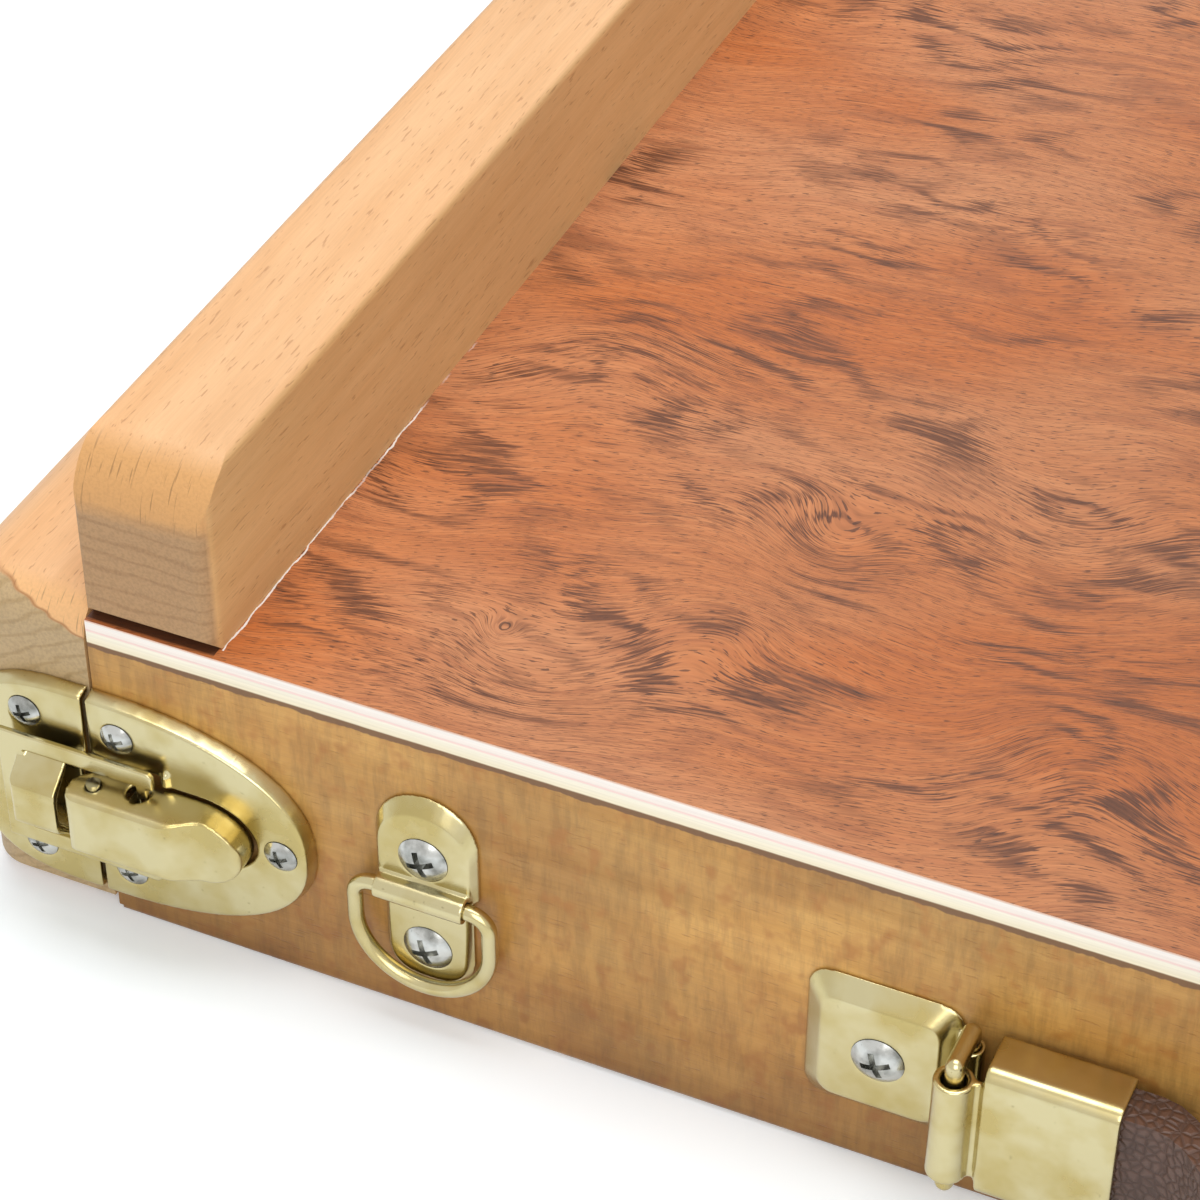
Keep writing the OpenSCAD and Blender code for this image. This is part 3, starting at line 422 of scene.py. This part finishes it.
def fall_off(tree, point, centre, reach):
    """1 at the centre, falling smoothly to 0 past the reach."""
    share = vector_math(tree, "DISTANCE", point, (*centre, 0))
    share = calculate(tree, "DIVIDE", share, reach)
    return calculate(tree, "EXPONENT", times(tree, times(tree, share, share), -1.0))


def swell(tree, point, scale, height, detail=1, place=(0, 0, 0)):
    """Broad soft noise of a given height."""
    return times(tree, noise(tree, point, (*scale, 1), detail, place=place), height)


def bulges(tree, point, share):
    """The summed height of all the bulges."""
    total = 0.0
    for centre, reach, height in BULGES:
        total = plus(tree, total, times(tree, fall_off(tree, point, centre, reach), height * share))
    return total


def dark_patches(tree, point, dark):
    """The larger, at each point, of a given darkness and that of the patches."""
    for centre, length, width, turn in DARK_PATCHES:
        spot = vector_math(tree, "SUBTRACT", point, (*centre, 0))
        spot = mapped(tree, spot, (1, 1, 1), turn=(0, 0, -turn))
        spot = vector_math(tree, "MULTIPLY", spot, (1 / length, 1 / width, 0))
        dark = calculate(tree, "MAXIMUM", dark, fall_off(tree, spot, (0, 0), 1.0))
    return dark


def build_figure_group():
    """Fibres, flame bands, dark patches and pores of a rotary-cut figured veneer. Inside,
    lengths are in millimetres."""
    tree, given, out = new_group(
        "veneer_figure", [("Vector", "NodeSocketVector", None)],
        ["Fibres", "Strands", "Bands", "Shades", "Pores", "Zones", "Cracks"])
    flat = vector_math(tree, "SCALE", given["Vector"], scale=1 / MM)
    flat = vector_math(tree, "MULTIPLY", flat, (1, 1, 0))

    # The fibres run along X of this turned grid and rise and fall over the bulges
    rise = plus(tree, swell(tree, flat, (0.018, 0.024), 20.0),
                swell(tree, flat, (0.055, 0.075), 3.4))
    rise = plus(tree, rise, bulges(tree, flat, FIBRE_RISE))
    flow = mapped(tree, flat, (1, 1, 1), turn=(0, 0, FIBRE_TURN))
    flow = vector_math(tree, "ADD", flow, vector_of(tree, "Y", rise))
    fill(tree, out["Fibres"], noise(tree, flow, (0.26, 5.0, 1), 2, 0.6))
    fill(tree, out["Strands"], noise(tree, flow, (0.05, 0.9, 1), 3, 0.6))

    # Each fibre slides along its length, so dark bands and patches get feathered edges
    slide = noise(tree, flow, (0.07, 3.4, 1), 2, 0.7, place=(0, 40, 0))
    slide = times(tree, minus(tree, slide, 0.5), FEATHER_REACH)
    place = vector_math(tree, "ADD", flat, vector_of(tree, "X", slide))

    # Dark bands are growth layers that the slice cuts at a shallow angle
    layers = plus(tree, times(tree, parts_of(tree, place)["Y"], LAYER_SLOPE),
                  swell(tree, place, (0.030, 0.048), 34.0, 2))
    layers = plus(tree, layers, swell(tree, place, (0.12, 0.17), 5.5, 2))
    layers = plus(tree, layers, bulges(tree, place, LAYER_RISE))
    wave = calculate(tree, "SINE", times(tree, layers, BAND_PACE))
    bands = ramp(tree, wave, [(0.25, 0.0), (0.8, 1.0)])
    broad = ramp(tree, wave, [(-0.3, 0.0), (0.0, 0.15), (0.7, 1.0)])

    # They show where the dark figure gathers, and more softly around it
    gather = swell(tree, place, (0.035, 0.06), 1.0, 2, (7, 3, 0))
    dark = dark_patches(tree, place, ramp(tree, gather, [(0.48, 0.03), (0.62, 0.95)]))
    ragged = noise(tree, flow, (0.14, 2.4, 1), 2, 0.6)
    dark = times(tree, dark, ramp(tree, ragged, [(0.36, 0.25), (0.54, 1.25)]))
    around = swell(tree, place, (0.030, 0.045), 1.0, 2, (1, 9, 0))
    around = calculate(tree, "MAXIMUM", ramp(tree, around, [(0.46, 0.0), (0.62, 0.85)]), dark)
    fill(tree, out["Bands"], times(tree, bands, dark, clamp=True))
    fill(tree, out["Shades"], times(tree, broad, around, clamp=True))

    pores = noise(tree, flow, (0.62, 8.0, 1), 1, place=(31, 9, 0))
    fill(tree, out["Pores"], ramp(tree, pores, [(0.62, 0.0), (0.65, 1.0)]))
    cracks = noise(tree, flow, (0.10, 2.4, 1), 0, place=(3, 71, 0))
    fill(tree, out["Cracks"], ramp(tree, cracks, [(0.845, 0.0), (0.86, 1.0)]))
    fill(tree, out["Zones"], noise(tree, flat, (0.016, 0.026, 1), place=(5, 0, 0)))
    return tree


def pale_edge_line(tree, point):
    """Thin wandering pale line on the veneer along the batten's side, thinning away from its end.
    """
    across, along, _ = parts_of(tree, point)
    wander = noise(tree, point, (260, 260, 260), 3, 0.7)
    away = minus(tree, across, BATTEN_HI.x - 0.4 * MM)
    away = minus(tree, away, times(tree, wander, 1.1 * MM))
    line = calculate(tree, "LESS_THAN", calculate(tree, "ABSOLUTE", away), 0.11 * MM)
    past_end = calculate(tree, "GREATER_THAN", along, BATTEN_LO.y + 1.2 * MM)
    reach = times(tree, minus(tree, along, BATTEN_LO.y), 9.0)
    broken = minus(tree, noise(tree, point, (140, 140, 140), 1), reach)
    broken = ramp(tree, broken, [(0.0, 0.0), (0.25, 1.0)])
    return times(tree, times(tree, line, past_end), broken)


def painted_batten_gap_shade(tree, point):
    """1 on the strip of veneer under the batten's bevelled end, where shade is painted in dark."""
    across, along, _ = parts_of(tree, point)
    inside = calculate(tree, "LESS_THAN", across, BATTEN_HI.x - 0.3 * MM)
    depth = times(tree, minus(tree, along, BATTEN_LO.y - 0.1 * MM), 1 / MM)
    return times(tree, inside, ramp(tree, depth, [(0.0, 0.0), (0.35, 1.0)]))


def figured_veneer(name, groups):
    """Reddish veneer with dark flames, fine fibres and short open pores."""
    shade_colour, band_colour = (0.27, 0.085, 0.038), (0.125, 0.040, 0.015)
    pore_colour, painted_gap_shade_colour = (0.035, 0.012, 0.008), (0.03, 0.012, 0.008)
    pale_line_colour = (0.82, 0.78, 0.74)
    material, tree = new_material(name)
    point = object_point(tree)
    figure = use_group(tree, groups["figure"], {"Vector": point})
    colour = ramp(tree, figure["Zones"], [(0.38, (0.49, 0.143, 0.034)), (0.5, (0.52, 0.185, 0.064)),
                                          (0.64, (0.54, 0.222, 0.095))])
    deep_strands = ramp(tree, figure["Strands"], [(0.45, 0.0), (0.72, 0.42)])
    colour = mix(tree, deep_strands, colour, (0.30, 0.085, 0.034))
    pale_strands = ramp(tree, figure["Strands"], [(0.30, 0.25), (0.45, 0.0)])
    colour = mix(tree, pale_strands, colour, (0.66, 0.28, 0.12))
    colour = mix(tree, times(tree, figure["Shades"], 0.42), colour, shade_colour)
    colour = mix(tree, times(tree, figure["Bands"], 0.95), colour, band_colour)
    fine = ramp(tree, figure["Fibres"], [(0.3, 0.74), (0.5, 0.99), (0.7, 1.14)])
    colour = shaded(tree, colour, fine)

    # The panel deepens a little away from the batten
    away = times(tree, minus(tree, parts_of(tree, point)["X"], SPLIT_X), 6.5)
    colour = shaded(tree, colour, ramp(tree, away, [(0.15, (1, 1, 1)), (0.85, (0.82, 0.80, 0.76))]))
    open_grain = calculate(tree, "MAXIMUM", figure["Pores"], figure["Cracks"])
    colour = mix(tree, times(tree, open_grain, 0.72), colour, pore_colour)
    # Painted shade: the veneer under the batten's bevelled end is darkened where the gap lies in
    # shadow
    colour = mix(tree, times(tree, painted_batten_gap_shade(tree, point), 0.85), colour, painted_gap_shade_colour)
    colour = mix(tree, pale_edge_line(tree, point), colour, pale_line_colour)
    mask = ramp(tree, facing(tree, (0, 0, 1)), [(0.4, 0.0), (0.6, 1.0)])
    height = minus(tree, figure["Fibres"], open_grain)
    principled(tree, color=mix(tree, mask, ply_edge_colour(tree, point), colour), specular=0.4,
               rough=ramp(tree, figure["Fibres"], [(0.3, 0.50), (0.7, 0.40)]),
               normal=bump(tree, height, WOOD_RELIEF, 0.45))
    return material


# ---- metal and leather -------------------------------------------------------

def plated(name, colour, tarnish_and_painted_reflection, rough, cell=150):
    """Bright plating over pressed sheet: soft clouds of a given number of cells per metre,
    fine scratches and small pits. The clouds fade toward a second colour: tarnish on the brass,
    and on the nickel a dark colour that is painted dark reflection."""
    wear = 0.10
    material, tree = new_material(name)
    point = object_point(tree)
    cloud = noise(tree, point, (cell, cell, cell), 3)
    shade = ramp(tree, cloud, [(0.34, tarnish_and_painted_reflection), (0.60, colour)])
    pits = ramp(tree, noise(tree, point, (1500, 1500, 1500)), [(0.70, 0.0), (0.77, 1.0)])
    shade = mix(tree, times(tree, pits, 0.35), shade, tuple(c * 0.45 for c in tarnish_and_painted_reflection))
    scratch = noise(tree, point, (300, 300, 4500), turn=(20, 35, 10))
    height = plus(tree, times(tree, cloud, 0.6), times(tree, scratch, 0.15))
    principled(tree, color=shade, metal=1.0,
               rough=ramp(tree, cloud, [(0.3, rough + wear), (0.65, rough)]),
               normal=bump(tree, height, 0.05 * MM, 0.22))
    return material


def leather(name):
    """Dark brown pebbled leather, with painted shade darkening its creases."""
    pebbles_per_metre = 900.0
    material, tree = new_material(name)
    point = object_point(tree)
    cells = add(tree, "ShaderNodeTexVoronoi", {"Vector": point, "Scale": pebbles_per_metre},
                feature="DISTANCE_TO_EDGE").outputs["Distance"]
    crease = ramp(tree, cells, [(0.0, 0.0), (0.25, 1.0)])
    cloud = noise(tree, point, (60, 60, 60), 3)
    shade = ramp(tree, cloud, [(0.35, (0.055, 0.026, 0.016)), (0.65, (0.11, 0.05, 0.03))])
    # Painted shade: the creases are darkened
    shade = shaded(tree, shade, ramp(tree, crease, [(0.0, 0.6), (1.0, 1.0)]))
    principled(tree, color=shade, rough=ramp(tree, crease, [(0.0, 0.6), (1.0, 0.42)]),
               normal=bump(tree, crease, 0.15 * MM, 0.7))
    return material


# ---- the object --------------------------------------------------------------

# Nodes whose finish differs from the rest of their slot
OWN_FINISH = {"batten": "batten_beech"}

# Lean of the growth rings on the drawer face's end, in degrees
RING_LEAN = -28

# Pressed pieces: surface cell in millimetres, rounds of softening, share of faces kept
PRESSED = {
    "catch_plate": (0.20, 8, 0.35), "latch_base": (0.20, 8, 0.30),
    "latch_lever": (0.16, 9, 0.5), "latch_link": (0.16, 6, 0.5),
    "ring_bracket": (0.18, 8, 0.35), "handle_plate": (0.20, 8, 0.35), "ferrule": (0.20, 7, 0.35)}


def make_materials():
    groups = {"timber": build_timber_group(), "rings": build_rings_group(),
              "figure": build_figure_group()}
    lean = math.radians(RING_LEAN)
    return {
        "beech": beech("drawer_beech", groups, end_top=-0.01462, end_slope=-0.357,
                       slant=(math.sin(lean), 0, math.cos(lean)),
                       end_pale=(0.50, 0.355, 0.19), end_deep=(0.43, 0.295, 0.145),
                       round_colour=(0.80, 0.46, 0.21), fade=0.4, seam=0.75),
        "batten_beech": beech("batten_beech", groups, end_top=0.0652, end_slope=0.051,
                              slant=(0, 0, 1), end_pale=(0.45, 0.265, 0.125),
                              end_deep=(0.39, 0.22, 0.10), round_colour=(0.64, 0.34, 0.13),
                              fade=2.0, seam=0.0),
        "side_wood": side_board("side_wood", groups),
        "inner_wood": plain_board("inner_wood", groups),
        "plywood": plywood("plywood", groups),
        "veneer": figured_veneer("veneer", groups),
        "brass_plate": plated("brass_plate", (0.57, 0.50, 0.285), (0.47, 0.375, 0.15), 0.19),
        # The nickel's dark second colour is painted dark reflection
        "nickel": plated("nickel", (0.56, 0.56, 0.53), (0.20, 0.20, 0.18), 0.20, cell=420),
        "leather": leather("leather"),
    }


def dress_nodes(materials):
    for part in frame["record"]["subparts"]:
        finish = OWN_FINISH.get(part["node"], part["material_slot"])
        mesh = frame["nodes"][part["node"]].data
        mesh.materials.clear()
        mesh.materials.append(materials[finish])


def select_only(piece):
    bpy.ops.object.select_all(action="DESELECT")
    piece.select_set(True)
    bpy.context.view_layer.objects.active = piece


def pressed_copy(node, cell, rounds, keep):
    """The piece again as pressed sheet, with soft rolled edges and corners, in place of its
    CAD node. Cell is the size of its surface mesh in millimetres."""
    source = frame["nodes"][node]
    piece = bpy.data.objects.new(node + "_pressed", source.data.copy())
    bpy.context.scene.collection.objects.link(piece)
    select_only(piece)
    bpy.ops.object.mode_set(mode="EDIT")
    bpy.ops.mesh.select_all(action="SELECT")
    bpy.ops.mesh.remove_doubles(threshold=0.002 * MM)
    bpy.ops.object.mode_set(mode="OBJECT")
    skin = piece.modifiers.new("skin", "REMESH")
    skin.mode = "VOXEL"
    skin.voxel_size = cell * MM
    soft = piece.modifiers.new("soft", "SMOOTH")
    soft.factor = 0.5
    soft.iterations = rounds
    thin = piece.modifiers.new("thin", "DECIMATE")
    thin.ratio = keep
    for name in ("skin", "soft", "thin"):
        bpy.ops.object.modifier_apply(modifier=name)
    bpy.ops.object.shade_smooth()
    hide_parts(node)
    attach(piece, source["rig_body"])


def press_sheet_pieces():
    for kind, (cell, rounds, keep) in PRESSED.items():
        for node in [n for n in frame["nodes"] if n.endswith(kind)]:
            pressed_copy(node, cell, rounds, keep)


# ---- studio ------------------------------------------------------------------

def seen_straight(tree):
    """1 for what the camera, a mirror or glass sees, and 0 for the light that bounces."""
    path = add(tree, "ShaderNodeLightPath").outputs
    seen = calculate(tree, "MAXIMUM", path["Is Camera Ray"], path["Is Glossy Ray"])
    return calculate(tree, "MAXIMUM", seen, path["Is Transmission Ray"])


def pale_stage(name):
    """A floor that looks white, keeps soft shadows, and bounces plain pale light."""
    near_glow, far_glow = 0.15, 0.85
    material, tree = new_material(name)
    away = vector_math(tree, "LENGTH", object_point(tree))
    plain = ramp(tree, away, [(WHITE_STARTS, 0.0), (WHITE_FULL, 1.0)])
    plain = times(tree, plain, seen_straight(tree))
    colour = mix(tree, seen_straight(tree), (0.80, 0.80, 0.80), (0.91, 0.96, 1.0))
    shader = add(tree, "ShaderNodeBsdfDiffuse", {"Color": mix(tree, plain, colour, (0, 0, 0))})
    strength = plus(tree, times(tree, seen_straight(tree), near_glow),
                    times(tree, plain, far_glow))
    glow = add(tree, "ShaderNodeEmission", {"Color": (1, 1, 1, 1), "Strength": strength})
    both = add(tree, "ShaderNodeAddShader", {0: shader.outputs[0], 1: glow.outputs[0]})
    add(tree, "ShaderNodeOutputMaterial", {"Surface": both.outputs[0]})
    return material


def build_world():
    """Dim plain light all round, in front of a white background."""
    world = bpy.data.worlds.new("studio")
    bpy.context.scene.world = world
    world.use_nodes = True
    tree = world.node_tree
    tree.nodes.clear()
    plain = add(tree, "ShaderNodeBackground", {"Color": (0.9, 0.9, 0.9, 1), "Strength": 0.5})
    white = add(tree, "ShaderNodeBackground", {"Color": (1, 1, 1, 1), "Strength": 1.0})
    both = add(tree, "ShaderNodeMixShader",
               {0: seen_straight(tree), 1: plain.outputs[0], 2: white.outputs[0]})
    add(tree, "ShaderNodeOutputWorld", {"Surface": both.outputs[0]})


def soft_lamp(name, place, aim, size, power):
    data = bpy.data.lights.new(name, "AREA")
    data.shape = "SQUARE"
    data.size = size
    data.energy = power
    lamp = bpy.data.objects.new(name, data)
    bpy.context.scene.collection.objects.link(lamp)
    lamp.location = place
    way = Vector(aim) - Vector(place)
    lamp.rotation_euler = way.to_track_quat("-Z", "Y").to_euler()


def build_studio():
    bpy.ops.mesh.primitive_plane_add(size=FLOOR_SIZE, location=(0, 0, 0))
    floor = bpy.context.object
    floor.name = "floor"
    floor.data.materials.append(pale_stage("floor_white"))
    build_world()
    for name, (place, aim, size, power) in LAMPS.items():
        soft_lamp(name, place, aim, size, power)


def build_camera():
    data = bpy.data.cameras.new("view")
    data.lens = CAMERA_LENS
    data.sensor_width = CAMERA_SENSOR
    camera = bpy.data.objects.new("view", data)
    bpy.context.scene.collection.objects.link(camera)
    camera.location = Vector((SPLIT_X, FRONT_Y, CORE_Z)) + CAMERA_OFFSET
    camera.rotation_euler = (math.radians(CAMERA_PITCH), 0, math.radians(CAMERA_TURN))
    bpy.context.scene.camera = camera


dress_nodes(make_materials())
press_sheet_pieces()
build_studio()
build_camera()
bpy.context.scene.view_settings.view_transform = "Standard"
